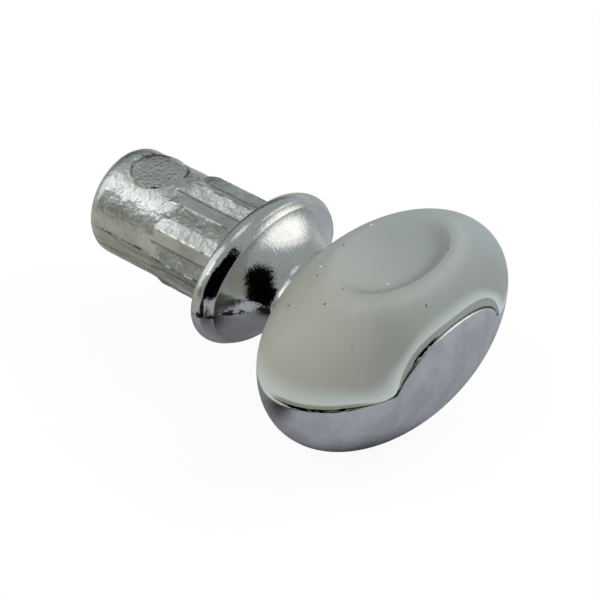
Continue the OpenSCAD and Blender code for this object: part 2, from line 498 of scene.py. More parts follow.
def edge_curve(soften, front, back=None):
    """Plan angle and lift of each column's point on the edge, evenly spaced along the edge. front and back
    are the arches over the seam, as arch_height takes them. The corners at their feet are rounded by
    averaging the curve over the length soften. Lift and height depend on each other, so they are found in
    rounds."""
    arches = [(arch, side) for arch, side in ((front, 1), (back, -1)) if arch]
    plans = [np.linspace(-math.pi, math.pi, 20001)[:-1]]
    for arch, side in arches:
        at = math.asin(arch[0] / HEAD_B * FOOT_REACH) * np.sin(np.linspace(-math.pi / 2, math.pi / 2, 4001))
        plans.append(at if side > 0 else np.where(at > 0, math.pi - at, -math.pi - at))
    plan = np.unique(np.concatenate(plans))
    lift = np.zeros_like(plan)
    for _ in range(12):
        y = HEAD_B * np.cos(lift) * np.sin(plan)
        z = np.zeros_like(plan)
        for arch, side in arches:
            z = np.where(np.cos(plan) * side > 0, arch_height(y, *arch), z)
        lift = np.arcsin(np.clip(z / CROWN_H, 0, 0.999))
    points = egg(plan, lift)
    along = np.append(0, np.cumsum(np.linalg.norm(np.diff(points, axis=0, append=points[:1]), axis=1)))
    even = np.linspace(0, along[-1], EVEN, endpoint=False)
    window = np.hanning(2 * max(int(soften / along[-1] * EVEN), 1) + 3)
    pick = np.linspace(0, EVEN, COLUMNS, endpoint=False)
    curve = []
    for values, gain in ((plan, TURN), (lift, 0.0)):
        values = averaged(resample(even, along, values, gain), window / window.sum(), gain)
        curve.append(resample(pick, np.arange(EVEN + 1), values, gain))
    return curve


def edge_frame(points):
    """Directions at each point of an edge curve: outwards from the form, and up across the edge."""
    outward = egg_normal(points)
    forward = unit(np.roll(points, -1, 0) - np.roll(points, 1, 0))
    across = unit(np.cross(outward, forward))
    return outward, across


def fan_out(row, first, pole, rows, lean=5):
    """Rings of the form from a pole (lift -90 or 90 degrees) to a row of its points near the edge. The
    columns start evenly spaced and lean over to the row's plan angles with a high power of the way along."""
    plan, lift = egg_angles(row, first)
    way = np.linspace(0, 1, rows + 1)[1:, None]
    even = plan[0] + np.arange(COLUMNS) * TURN / COLUMNS
    return egg(even + (plan - even) * way**lean, pole + (lift - pole) * way)


def inner_dome(plan, inset, top):
    """Rings of the form made smaller by inset, from the seam to a level top and over it, and its middle."""
    rise = np.linspace(0, math.asin(top / (CROWN_H - inset)), 20)[:, None]
    wall = egg(np.repeat(plan[None], 20, 0), np.repeat(rise, COLUMNS, 1) + 1e-6, inset)
    middle = np.array([HEAD_X, 0, SEAM_Z + top])
    lid = middle + (wall[-1] - middle) * np.linspace(0.95, 0.1, 10)[:, None, None]
    return np.concatenate([wall, lid]), middle


# %% [markdown]
# ### The metal cup and its lip
#
# The cup's outside is polished and plated, with a small rounded shoulder along the joint. At the front the
# same surface climbs into the lip, half a millimetre thick, which keeps the pad from being pushed off.
# Inside, a core fills the pad.

# %% Head: cup and lip
LIP = (3.27, 1.7, 0.0, 2.0, -0.09)  # half width, height, drop, power, middle
LIP_T = 0.5
SHOULDER_R, LIP_ROUND = 0.12, 0.14  # roundness of the cup's edge on the seam, and on the lip
CORE_INSET, CORE_TOP = 1.0, 1.85
LEDGE = 0.7  # width of the cup's level top beside the core
# Stretches of plan angle in degrees: where the joint gapes, where the lip's does, and where it is tight
OPEN_SEAM, OPEN_LIP, CLOSED_SEAM = (-86, -52), (-23, -14), (-82, -30)


def ragged(plan):
    """The uneven gap under the pad's edge, from 0 to 1: waves of unlike lengths round the head."""
    waves = np.sin(9 * plan + 1.0) + 0.7 * np.sin(31 * plan)
    waves = waves + 0.5 * np.sin(53 * plan + 2.0) + 0.4 * np.sin(97 * plan)
    return np.clip(0.5 + 0.3 * waves, 0, 1)


def between(plan, start, stop, fade=4.0):
    """1 where the plan angle lies from start to stop in degrees, falling to 0 over fade degrees outside."""
    at = np.degrees(plan)
    return smooth_step((at - start) / fade + 1) * smooth_step((stop - at) / fade + 1)


def full_lip(edge):
    """0 on the seam and 1 high up on the lip, where its edge has its full roundness."""
    return smooth_step((edge[:, 2] - SEAM_Z - 0.4) / 0.8)[:, None]


def make_cup():
    """The cup's skin: the outside from the bottom to the edge, round the edge, then down to the seat and up
    the core. Its mask of painted black shade in the gap is set from the shoulder on, where the joint gapes."""
    plan, lift = edge_curve(0.6, LIP)
    edge = egg(plan, lift)
    outward, up = edge_frame(edge)
    is_lip = smooth_step((edge[:, 2] - SEAM_Z) / 0.3)[:, None]
    ledge = LIP_T + (LEDGE - LIP_T) * (1 - is_lip)
    uneven = 0.6 * ragged(plan + 0.3) * between(plan, *OPEN_SEAM)
    shoulder_r = SHOULDER_R * (1 - (0.8 - uneven) * between(plan, *CLOSED_SEAM, 8))[:, None]
    shoulder_r += (LIP_ROUND - shoulder_r) * full_lip(edge)
    outside = fan_out(edge - up * shoulder_r, plan[0], -math.pi / 2, 110)
    turn = np.linspace(0, math.pi / 2, 9)[1:, None, None]
    corner = edge - (outward + up) * shoulder_r
    shoulder = corner + shoulder_r * (outward * np.cos(turn) + up * np.sin(turn))
    across = np.linspace(0, 1, 7)[1:-1, None, None]
    top = edge - outward * (shoulder_r + (ledge - shoulder_r - SHOULDER_R) * across)
    inner_corner = edge - outward * (ledge - SHOULDER_R) - up * SHOULDER_R
    inner = inner_corner + SHOULDER_R * (up * np.cos(turn) - outward * np.sin(turn))
    foot = egg(plan, np.full_like(plan, 1e-6), 0.8) - [0, 0, 0.03]
    down = inner[-1] + (foot - inner[-1]) * np.linspace(0, 1, 9)[1:, None, None]
    core, middle = inner_dome(plan, CORE_INSET, CORE_TOP)
    rings = np.concatenate([outside, shoulder, top, inner, down, core])
    # Where the joint gapes, the cup is painted black, as the shade inside the gap.
    painted_gap_shade = between(plan, *OPEN_SEAM) * (0.3 + 0.7 * ragged(plan)) + 0.8 * between(plan, *OPEN_LIP)
    rows = np.concatenate([np.zeros(len(outside)), smooth_step(np.linspace(-0.6, 1.4, len(shoulder)))])
    rows = np.concatenate([rows, np.ones(len(rings) - len(rows))])
    masks = {"painted_gap_shade": rows[:, None] * painted_gap_shade}
    return skin("cup", rings, (HEAD_X, 0, SEAM_Z - CUP_DEPTH), middle, masks)


cup = make_cup()

# %% [markdown]
# ### The soft pad
#
# The pad is moulded from soft plastic. Its dome has a shallow oval hollow on top. Its lower edge is rounded,
# most of all along one stretch of the joint, where it turns under over a gap. The dark there is painted
# shade, black on the cup below and olive on the turned edge. The skin starts in the middle of the hollow,
# goes over the dome to the edge, and comes back along the inside, a millimetre under the surface.

# %% Head: pad
NOTCH = (3.3, 1.92, 0.0, 2.55, -0.1)  # as LIP
PASSAGE = (2.42, 1.29, 0.4)  # the arch over the neck: half width, height, drop
HOLLOW = (1.85, 3.15, 0.6)  # half length, half width, depth
PAD_EDGE_R, TURNED_EDGE_R = 0.06, 0.19
LIP_TURN = 0.6  # angle over which the edge turns inwards along the lip
PAD_GAP, GAPE = 0.015, 0.06  # the joint's gap, and how much wider it gets where it gapes
# How far the wall stands in from the edge: along the lip, where the lip's joint gapes, and on the seam
RECESS, RECESS_OPEN, RECESS_SEAM = 0.05, 0.07, 0.31
CREST_SEAM = 0.25  # how much further in the slope's crest lies on the seam
OVER_LIP, BEHIND_LIP = 0.012, 0.05
CAVITY_INSET, CAVITY_TOP = 0.95, 1.9


def dome_height(x, y):
    """Height of the pad's top over the seam at a place in plan, with the level top and the hollow worked in.
    The hollow is depth (1 - p^2 - q^2)^k, where k makes its rim crisp at the front and soft at the back."""
    u, v = (x - HEAD_X) / HEAD_A, y / HEAD_B
    dome = CROWN_H * np.sqrt(np.clip(1 - u * u - v * v, 0, 1))
    level = soft_min(dome, np.full_like(dome, REST_Z - SEAM_Z), 0.12)
    p, q = (x - HEAD_X) / HOLLOW[0], y / HOLLOW[1]
    to_front = 0.5 + 0.5 * p / np.maximum(np.hypot(p, q), 0.05)
    power = 1.5 - 0.8 * smooth_step(to_front)
    return level - HOLLOW[2] * np.clip(1 - p * p - q * q, 0, 1) ** power


def painted_hollow_shading(points):
    """Painted light and shade round the hollow, about 0.5: its front wall is painted in shade, and its crest
    and middle are painted light. Each is a soft bell over the distance from the hollow's middle, where 1 is
    its rim."""
    p, q = (points[..., 0] - HEAD_X) / HOLLOW[0], points[..., 1] / HOLLOW[1]
    reach = np.hypot(p, q)
    front = smooth_step(0.55 + 0.8 * p / np.maximum(reach, 0.05))
    crest, wall = 0.12 * bell(reach - 1.2, 0.18), 0.34 * bell(reach - 0.84, 0.17)
    return 0.5 + front * (crest - wall) + 0.06 * bell(reach - 0.25, 0.4)


def arch_gap(edge):
    """The distance from points on the notch's edge down to the lip: how far the lip's ellipse equation is
    from 1 there, divided by its steepness."""
    across, high = np.abs(edge[:, 1] - LIP[4]) / LIP[0], (edge[:, 2] - SEAM_Z) / LIP[1]
    steepness = np.hypot(across / LIP[0], high / LIP[1])
    return np.clip((across**2 + high**2 - 1) / (2 * np.maximum(steepness, 0.1)), 0.03, None)


def pad_masks(plan, edge, outside, round_edge, rows, turned, on_seam):
    """The pad's masks, which paint light and shade: the light let through near the lower edge, a shade on the
    side that faces forwards and on the core's near corner, shade and light round the hollow, a little shade
    inside along the lip, and shade on a narrow band over the stretch where the edge turns under. The mesh has
    the given number of rows, and those that follow outside are under the edge or inside."""
    steps = np.linalg.norm(np.diff(outside, axis=0, append=round_edge[:1]), axis=2)
    from_edge = np.cumsum(steps[::-1], axis=0)[::-1]
    height = edge[:, 2] - SEAM_Z
    band = (1.25 - 0.62 * smooth_step(height / 1.4)) * (1 - 0.6 * smooth_step(np.sin(plan) * 2 - 0.5))
    fade = 1 - 0.35 * smooth_step((height - 0.3) / 1.2)
    inside = np.ones((rows - len(outside), COLUMNS))
    under = 1 - smooth_step(np.arange(len(inside)) / (0.6 * len(round_edge)))[:, None]
    # Painted light let through the plastic near its lower edge.
    edge_glow_share = np.concatenate([fade * (1 - smooth_step(from_edge / band)), inside * under])
    x, y = outside[..., 0] - HEAD_X, outside[..., 1]
    # A painted shade on the side that faces forwards, and on the core's near corner.
    front = 0.55 * smooth_step(x / HEAD_A * 1.6 - 0.35) + 0.3 * bell(x - 1.9, 1.7) * bell(y + 3.0, 1.2)
    # A painted shade on the edge where it turns under.
    painted_under_shade = np.concatenate([1 - smooth_step((from_edge - 0.1) / 0.08), inside]) * (turned * on_seam)[:, 0]
    return {
        "painted_edge_glow": edge_glow_share * (1 - painted_under_shade),
        "painted_front_shade": np.concatenate([front, inside * front[-1]]),
        "painted_hollow_shading": np.concatenate([painted_hollow_shading(outside), inside * (0.4 + 0.1 * on_seam[:, 0])]),
        "painted_under_shade": painted_under_shade,
    }


def make_pad():
    """The pad's skin, from the middle of its hollow over the dome, round the edge and back inside. Along the
    lip its wall reaches down to the lip's rounding, then slopes up over the lip and behind it."""
    plan, lift = edge_curve(1.0, NOTCH, PASSAGE)
    edge = egg(plan, lift)
    outward, up = edge_frame(edge)
    on_seam = 1 - smooth_step((edge[:, 2] - SEAM_Z) / 0.4)[:, None]
    at_lip = 1 - on_seam
    turned = between(plan, *OPEN_SEAM, 15)[:, None]
    edge_r = PAD_EDGE_R + (TURNED_EDGE_R - PAD_EDGE_R) * turned * on_seam
    outside = fan_out(edge + up * edge_r, plan[0], math.pi / 2, 120)
    outside[..., 2] = SEAM_Z + dome_height(outside[..., 0], outside[..., 1])
    open_seam = between(plan, *OPEN_SEAM, 3)[:, None]
    gap = PAD_GAP + GAPE * ragged(plan)[:, None] * open_seam * on_seam
    turn = np.linspace(0, 1, 12)[1:, None, None] * (math.pi / 2 + (LIP_TURN - math.pi / 2) * at_lip)
    corner = edge - outward * edge_r + up * edge_r
    round_edge = corner + outward * edge_r * np.cos(turn) - up * (edge_r - gap) * np.sin(turn)
    depth = RECESS + RECESS_OPEN * between(plan, *OPEN_LIP)[:, None]
    sink = (LIP_ROUND - np.sqrt(LIP_ROUND**2 - (LIP_ROUND - depth) ** 2)) * full_lip(edge)
    to_lip = up * (arch_gap(edge)[:, None] - OVER_LIP) * at_lip
    recess = edge - outward * (depth + (RECESS_SEAM - depth) * on_seam) - to_lip - up * sink * at_lip
    crest = edge - outward * (LIP_ROUND + CREST_SEAM * on_seam) - to_lip
    behind = edge - outward * (LIP_T + BEHIND_LIP) - to_lip
    foot = egg(plan, np.full_like(plan, 1e-6), LIP_T + 0.06) + [0, 0, 0.03]
    shares = np.linspace(0, 1, 7)[1:, None, None]
    stops = (round_edge[-1], recess, crest, behind, foot)
    walls = [a + (b - a) * shares for a, b in zip(stops, stops[1:])]
    cavity, middle = inner_dome(plan, CAVITY_INSET, CAVITY_TOP)
    rings = np.concatenate([outside, round_edge, *walls, cavity])
    top = np.array([HEAD_X, 0, SEAM_Z + dome_height(np.array([HEAD_X]), np.array([0.0]))[0]])
    masks = pad_masks(plan, edge, outside, round_edge, len(rings), turned, on_seam)
    return skin("pad", rings[::-1], middle, top, {name: mask[::-1] for name, mask in masks.items()})


pad = make_pad()

# %% [markdown]
# ## Finishes
#
# Small castings are often only tumbled before they are plated, and this one isn't even: the shank is the
# most grainy, the collar is bright, and the cup has a fine satin. All three are the same effect with other
# values, so the grain is one node group, placed in each material with its own sizes and strengths.

# %% Helpers: short ways to write a node tree
def put(tree, kind, inputs=None, **settings):
    """Adds a node, sets its properties, and fills its inputs with values or links from other sockets."""
    node = tree.nodes.new("ShaderNode" + kind)
    for key, value in settings.items():
        setattr(node, key, value)
    for key, value in (inputs or {}).items():
        if isinstance(value, bpy.types.NodeSocket):
            tree.links.new(value, node.inputs[key])
        else:
            node.inputs[key].default_value = value
    return node


def maths(tree, operation, a, b=0.0, c=0.0):
    """The output of a Math node."""
    return put(tree, "Math", {0: a, 1: b, 2: c}, operation=operation).outputs[0]


def remap(tree, value, low, high, to_low=0.0, to_high=1.0):
    """A value moved smoothly from one range to another, and held at its ends."""
    inputs = {"Value": value, "From Min": low, "From Max": high, "To Min": to_low, "To Max": to_high}
    return put(tree, "MapRange", inputs, interpolation_type="SMOOTHSTEP").outputs["Result"]


def blend(tree, share, a, b):
    """Colour a turning into colour b with the share. The Mix node's colours are its inputs 6 and 7, and its
    result for colours is output 2."""
    node = put(tree, "Mix", {"Factor": share}, data_type="RGBA")
    for socket, colour in ((node.inputs[6], a), (node.inputs[7], b)):
        if isinstance(colour, bpy.types.NodeSocket):
            tree.links.new(colour, socket)
        else:
            socket.default_value = (*colour, 1)
    return node.outputs[2]


def group_tree(name, inputs, outputs):
    """A node group with float inputs that have defaults, a vector input named Place, and float outputs."""
    tree = bpy.data.node_groups.new(name, "ShaderNodeTree")
    tree.interface.new_socket("Place", in_out="INPUT", socket_type="NodeSocketVector")
    for key, value in inputs.items():
        tree.interface.new_socket(key, in_out="INPUT", socket_type="NodeSocketFloat").default_value = value
    for key in outputs:
        tree.interface.new_socket(key, in_out="OUTPUT", socket_type="NodeSocketFloat")
    return tree, tree.nodes.new("NodeGroupInput").outputs, tree.nodes.new("NodeGroupOutput").inputs


def place_in_mm(tree):
    """Object coordinates in millimetres."""
    coordinates = put(tree, "TexCoord").outputs["Object"]
    return put(tree, "VectorMath", {0: coordinates, "Scale": 1 / MM}, operation="SCALE").outputs["Vector"]


def along_axis(tree, place, axis):
    """One coordinate of a place."""
    return put(tree, "SeparateXYZ", {0: place}).outputs[axis]


def mesh_mask(tree, name):
    """The value of one of the mesh's masks."""
    return put(tree, "Attribute", attribute_name=name).outputs["Fac"]


def noise(tree, place, scale, detail=2.0, roughness=0.5):
    """The value of a noise texture with a number of features per millimetre."""
    inputs = {"Vector": place, "Scale": scale, "Detail": detail, "Roughness": roughness}
    return put(tree, "TexNoise", inputs).outputs["Fac"]


# %% The grain as one node group
GRAIN_VALUES = {"Coarse": 5.0, "Fine": 18.0, "Fine Share": 0.4, "Patch": 0.8}


def grain_group():
    """Grain: dents and fine grain added into a height, a speckle mask of the fine grain, and slow patches."""
    tree, given, out = group_tree("cast_grain", GRAIN_VALUES, ("Height", "Speckle", "Patches"))
    dents = noise(tree, given["Place"], given["Coarse"], 1.0)
    fine = noise(tree, given["Place"], given["Fine"], 2.0, 0.6)
    patches = noise(tree, given["Place"], given["Patch"], 2.0)
    tree.links.new(maths(tree, "MULTIPLY_ADD", fine, given["Fine Share"], dents), out["Height"])
    tree.links.new(remap(tree, fine, 0.35, 0.65), out["Speckle"])
    tree.links.new(remap(tree, patches, 0.35, 0.65), out["Patches"])
    return tree


GRAIN = grain_group()


def grain(tree, place, values):
    """Places the grain group with its own values, in the order of GRAIN_VALUES."""
    return put(tree, "Group", {"Place": place, **dict(zip(GRAIN_VALUES, values))}, node_tree=GRAIN).outputs


def principled(name):
    """A new material, its tree, its Principled shader and the place in millimetres."""
    m = bpy.data.materials.new(name)
    m.use_nodes = True
    return m, m.node_tree, m.node_tree.nodes["Principled BSDF"], place_in_mm(m.node_tree)


def link_finish(tree, shader, speckle, colour, rough, height, bump):
    """Links the colour, a roughness from the least to the most with the speckle, and the relief."""
    tree.links.new(colour, shader.inputs["Base Color"])
    tree.links.new(remap(tree, speckle, 0.0, 1.0, *rough), shader.inputs["Roughness"])
    relief = put(tree, "Bump", {"Height": height, "Strength": 1.0, "Distance": bump * MM})
    tree.links.new(relief.outputs[0], shader.inputs["Normal"])


# %% [markdown]
# ### Plated metal
#
# Every metal finish is a Principled shader with Metallic 1. Its base colour moves between two tones of
# nickel in slow patches, and its roughness follows the speckle. The parting line, where the two halves of the
# mould met, runs along both sides of the shank and the collar. It is a dark line of uneven width with breaks,
# made from the height Z over the pin's axis, and it is widest on the collar. Masks on the meshes also paint
# light and shade into the colour: highlights on the ribs' crests, shade in their valleys, round the ejector
# mark and in the gap under the pad, and a brown shade on the cup's back by the neck.

# %% Plated metal
METAL_TONES = {
    "speck": (0.1, 0.1, 0.1),
    "streak": (0.16, 0.16, 0.13),
    "line": (0.04, 0.04, 0.035),
    # a painted brown shade on the cup's back, next to the neck
    "neck_shade": (0.16, 0.14, 0.1),
    # painted black shade inside the gap under the pad's edge
    "gap": (0.004, 0.004, 0.003),
    # painted shade in the ribs' valleys, a painted highlight on their crests, and crests painted dark in
    # places
    "valley": (0.06, 0.062, 0.055),
    "crest": (0.95, 0.96, 0.95),
    "dark_crest": (0.12, 0.12, 0.11),
}
# The cup's back is painted a brown shade near the neck, which fades out between these distances.
NECK_SHADE_REACH = (3.6, 5.0)  # distances from the neck's end between which the brown tone fades out


def parting_line(tree, place, strength, widest):
    """A broken line of uneven width along the height of the pin's axis, as a mask."""
    height = maths(tree, "ABSOLUTE", along_axis(tree, place, "Z"))
    width = remap(tree, noise(tree, place, 1.7, 5.0, 0.65), 0.44, 0.62, 0.002, widest)
    return remap(tree, maths(tree, "DIVIDE", height, width), 0.4, 1.0, strength, 0.0)


def drawn_streaks(tree, place, strength):
    """Streaks along the pin, in its lower half, which the mould left as it was drawn off."""
    stretched = put(tree, "Mapping", {"Vector": place, "Scale": (0.25, 2.6, 2.6)}).outputs[0]
    low = remap(tree, along_axis(tree, place, "Z"), -0.9, 0.5, strength, 0.0)
    from_end = remap(tree, along_axis(tree, place, "X"), PIN_END + 0.1, PIN_END + END_ROUND)
    low = maths(tree, "MULTIPLY", low, from_end)
    return maths(tree, "MULTIPLY", low, remap(tree, noise(tree, stretched, 1.7, 2.0), 0.4, 0.62))


def rib_lines(tree, place, colour):
    """Draws the edges' mask as painted light and shade: shade in the valleys, and a highlight on the crests,
    broken by stretches where they are painted dark.
    """
    mask = mesh_mask(tree, "painted_edge_shading")
    broken = remap(tree, noise(tree, place, 2.2, 2.0), 0.4, 0.6)
    crest = remap(tree, mask, 0.55, 0.95)
    dark_share = remap(tree, broken, 0.5, 0.0, 0.0, 0.6)
    colour = blend(tree, remap(tree, mask, 0.5, 0.0, 0.0, 0.92), colour, METAL_TONES["valley"])
    colour = blend(tree, maths(tree, "MULTIPLY", crest, broken), colour, METAL_TONES["crest"])
    return blend(tree, maths(tree, "MULTIPLY", crest, dark_share), colour, METAL_TONES["dark_crest"])


def metal_material(
    name, bright, dull, rough, bump, sizes, line=None, streaks=0.0, speckle=0.1, neck_shade=0.0, masks=()
):
    """A metal finish. bright and dull are its two colours, rough the least and the most roughness, bump the
    height of the grain in millimetres, and sizes the grain's values. line is the strength and the greatest
    width of the parting line. streaks and speckle are strengths, and so is the strength of a painted brown
    shade behind the head, where the neck meets it. masks names the attributes that it draws: the gap's mask
    is a painted black shade, the edges' mask gives a painted highlight and shade as light and dark lines, and
    mark_floor a coarser relief."""
    m, tree, shader, place = principled(name)
    got = grain(tree, place, sizes)
    colour = blend(tree, got["Patches"], bright, dull)
    specks = remap(tree, noise(tree, place, 20.0, 1.0), 0.5, 0.7, 0.0, speckle)
    colour = blend(tree, specks, colour, METAL_TONES["speck"])
    if streaks:
        colour = blend(tree, drawn_streaks(tree, place, streaks), colour, METAL_TONES["streak"])
    if line:
        colour = blend(tree, parting_line(tree, place, *line), colour, METAL_TONES["line"])
    # A painted brown shade on the cup's back, fading with the distance from the neck.
    if neck_shade:
        away = put(tree, "VectorMath", {0: place, 1: (NECK_X, 0, 0)}, operation="DISTANCE").outputs["Value"]
        colour = blend(tree, remap(tree, away, *NECK_SHADE_REACH, neck_shade, 0.0), colour, METAL_TONES["neck_shade"])
    # The gap under the pad's edge is painted black here, as shade.
    if "painted_gap_shade" in masks:
        uneven = remap(tree, noise(tree, place, 4.5, 3.0), 0.36, 0.6, 0.25, 1.4)
        gap = maths(tree, "MULTIPLY", mesh_mask(tree, "painted_gap_shade"), uneven)
        colour = blend(tree, remap(tree, gap, 0.25, 0.5), colour, METAL_TONES["gap"])
    if "painted_edge_shading" in masks:
        colour = rib_lines(tree, place, colour)
    height = got["Height"]
    if "mark_floor" in masks:
        dents = maths(tree, "MULTIPLY", noise(tree, place, 5.5, 1.0), mesh_mask(tree, "mark_floor"))
        height = maths(tree, "MULTIPLY_ADD", dents, 1.5, height)
    shader.inputs["Metallic"].default_value = 1.0
    link_finish(tree, shader, got["Speckle"], colour, rough, height, bump)
    return m


SHANK_METAL = metal_material(
    "cast_metal",
    (0.68, 0.69, 0.665),
    (0.53, 0.545, 0.52),
    rough=(0.16, 0.3),
    bump=0.034,
    sizes=(3.4, 8.0, 0.35, 0.8),
    line=(0.8, 0.1),
    streaks=0.6,
    masks=("painted_edge_shading", "mark_floor"),
)
COLLAR_METAL = metal_material(
    "bright_metal",
    (0.69, 0.695, 0.685),
    (0.6, 0.6, 0.58),
    rough=(0.04, 0.12),
    bump=0.0075,
    sizes=(5.5, 15.0, 0.45, 0.6),
    line=(1.0, 0.27),
    speckle=0.22,
)
CUP_METAL = metal_material(
    "satin_metal",
    (0.665, 0.665, 0.67),
    (0.565, 0.57, 0.575),
    rough=(0.22, 0.3),
    bump=0.0014,
    sizes=(4.0, 11.0, 0.5, 1.1),
    neck_shade=0.85,
    masks=("painted_gap_shade",),
)
FINISH = {"shank": SHANK_METAL, "collar": COLLAR_METAL, "cup": CUP_METAL}

# %% [markdown]
# ### The pad's soft plastic
#
# The pad is frosted and lets light through. Where there is metal close under it, it looks darker and warmer,
# and its free edge looks lighter and cooler. Real subsurface light would give this at a high cost, so the
# mesh carries masks, such as how near a point is to the edge, and each of them lays one tone over the last.
# Most of these tones are painted light and shade: the light let through at the edge, a lit near side and a
# shaded far side, a shaded front, and shade and light round the hollow. A little subsurface scattering on top
# softens the shadows.

# %% Soft plastic
PAD_TONES = {
    # The two sides' colours are painted light: a lit, warm near side and a shaded, cool far side.
    "lit_near_side": (0.355, 0.355, 0.305),
    "shaded_far_side": (0.265, 0.298, 0.3),
    "cloud": (0.25, 0.26, 0.24),
    # From here to the under shade, the tones are painted light and shade: a shaded front, a shaded wall and a
    # lit crest round the hollow, light let through at the edge, and shade on the turned edge.
    "painted_front_shade": (0.17, 0.18, 0.165),
    "painted_wall_shade": (0.19, 0.21, 0.2),
    "painted_crest_light": (0.52, 0.56, 0.55),
    "painted_edge_glow": (0.47, 0.52, 0.51),
    "painted_under_shade": (0.22, 0.22, 0.16),
    "grain": (0.2, 0.21, 0.2),
    "dark_speck": (0.06, 0.065, 0.06),
    "white_speck": (0.8, 0.82, 0.82),
}


def speck_mask(tree, place, per_mm, share, size):
    """Small round specks on the pad's top: the nearness to the points of a Voronoi texture over X and Y, kept
    in only a share of its cells and only high up."""
    cells = put(tree, "TexVoronoi", {"Vector": place, "Scale": per_mm}, voronoi_dimensions="2D")
    chance = put(tree, "SeparateColor", {0: cells.outputs["Color"]}).outputs[0]
    near = remap(tree, cells.outputs["Distance"], size * 0.6, size, 1.0, 0.0)
    kept = maths(tree, "MULTIPLY", near, maths(tree, "LESS_THAN", chance, share))
    return maths(tree, "MULTIPLY", kept, remap(tree, along_axis(tree, place, "Z"), 2.6, 2.9))


def pad_material():
    """Frosted soft plastic: a lighter, warmer near side and a darker, cooler far side, painted as the light
    falls, and then one tone after another with its share.
    """
    m, tree, shader, place = principled("frosted_plastic")
    got = grain(tree, place, (1.6, 24.0, 1.5, 0.35))
    tone = mesh_mask(tree, "painted_hollow_shading")
    shares = {
        "cloud": maths(tree, "MULTIPLY", got["Patches"], 0.25),
        "painted_front_shade": mesh_mask(tree, "painted_front_shade"),
        "painted_wall_shade": remap(tree, tone, 0.5, 0.0),
        "painted_crest_light": remap(tree, tone, 0.5, 1.0),
        "painted_edge_glow": mesh_mask(tree, "painted_edge_glow"),
        "painted_under_shade": mesh_mask(tree, "painted_under_shade"),
        "grain": maths(tree, "MULTIPLY", got["Speckle"], 0.16),
        "dark_speck": speck_mask(tree, place, 0.65, 0.5, 0.038),
        "white_speck": speck_mask(tree, place, 0.43, 0.3, 0.024),
    }
    # The near side is painted lit and warm, and the far side shaded and cool, as the light falls.
    across = remap(tree, along_axis(tree, place, "Y"), -5.5, 2.0)
    colour = blend(tree, across, PAD_TONES["lit_near_side"], PAD_TONES["shaded_far_side"])
    for name, share in shares.items():
        colour = blend(tree, share, colour, PAD_TONES[name])
    link_finish(tree, shader, got["Speckle"], colour, (0.36, 0.48), got["Height"], 0.0015)
    shader.inputs["IOR"].default_value = 1.5
    shader.inputs["Subsurface Weight"].default_value = 0.25
    shader.inputs["Subsurface Radius"].default_value = (0.8, 0.8, 0.7)
    shader.inputs["Subsurface Scale"].default_value = 0.6 * MM
    return m


FINISH["pad"] = pad_material()

# %% Dress the pieces, attach them to the root and hide the imported solids
for piece in (shank, collar, cup):
    piece.data.materials.append(FINISH[piece.name])
    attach(piece, "root")
    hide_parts("pin_body")
pad.data.materials.append(FINISH["pad"])
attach(pad, "root")
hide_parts("soft_pad")
print("finishes:", {name: m.name for name, m in FINISH.items()})

# %% [markdown]
# ## Floor and world
#
# The floor is a plain pale sheet. Where it is seen, directly or through glossy and transmitted rays, most of
# its brightness is its own glow, so it looks white without any more light on the part, and the small rest
# keeps the part's soft shadow. The world does the same: it is white where it is seen, and lights the part
# at a plain level otherwise.

# %% Floor and world
FLOOR_Z = body_low[2] - 0.01
FLOOR_GLOW = 0.93
WORLD_LEVEL = 0.72
WIDE = 600
TENT_R = 560


def sheet(name, corners, m):
    """A single four-cornered stage sheet with the corners given in millimetres."""
    mesh = bpy.data.meshes.new(name)
    mesh.from_pydata([tuple(c) for c in np.array(corners, float) * MM], [], [(0, 1, 2, 3)])
    mesh.materials.append(m)
    stage = bpy.data.objects.new(name, mesh)
    bpy.context.scene.collection.objects.link(stage)
    return stage


def new_material(name):
    """An empty node material, with its tree and its output node."""
    m = bpy.data.materials.new(name)
    m.use_nodes = True
    m.node_tree.nodes.clear()
    return m, m.node_tree, m.node_tree.nodes.new("ShaderNodeOutputMaterial")


def seen(tree):
    """1 for camera, glossy and transmission rays, and 0 for all others."""
    path = put(tree, "LightPath").outputs
    straight = maths(tree, "MAXIMUM", path["Is Camera Ray"], path["Is Glossy Ray"])
    return maths(tree, "MAXIMUM", straight, path["Is Transmission Ray"])


def floor_material():
    """Diffuse white that glows where it is seen, for all but a small share that takes the shadow."""
    m, tree, out = new_material("pale_floor")
    plain = put(tree, "BsdfDiffuse", {"Color": (0.9, 0.9, 0.9, 1)}).outputs[0]
    glow = put(tree, "Emission").outputs[0]
    share = maths(tree, "MULTIPLY", seen(tree), FLOOR_GLOW)
    mix = put(tree, "MixShader", {0: share, 1: plain, 2: glow})
    tree.links.new(mix.outputs[0], out.inputs[0])
    return m


def make_world(level):
    """White where it is seen, and a plain grey level for all other light."""
    world = bpy.data.worlds.new("world")
    world.use_nodes = True
    tree = world.node_tree
    strength = put(tree, "MapRange", {"Value": seen(tree), "To Min": level, "To Max": 1.0})
    ground = tree.nodes["Background"]
    ground.inputs["Color"].default_value = (1, 1, 1, 1)
    tree.links.new(strength.outputs["Result"], ground.inputs["Strength"])
    return world


def level_square(half, z):
    """The corners of a level square round the origin."""
    return [(-half, -half, z), (half, -half, z), (half, half, z), (-half, half, z)]


sheet("floor", level_square(WIDE, FLOOR_Z), floor_material())
bpy.context.scene.world = make_world(WORLD_LEVEL)
bpy.context.scene.view_settings.view_transform = "Standard"

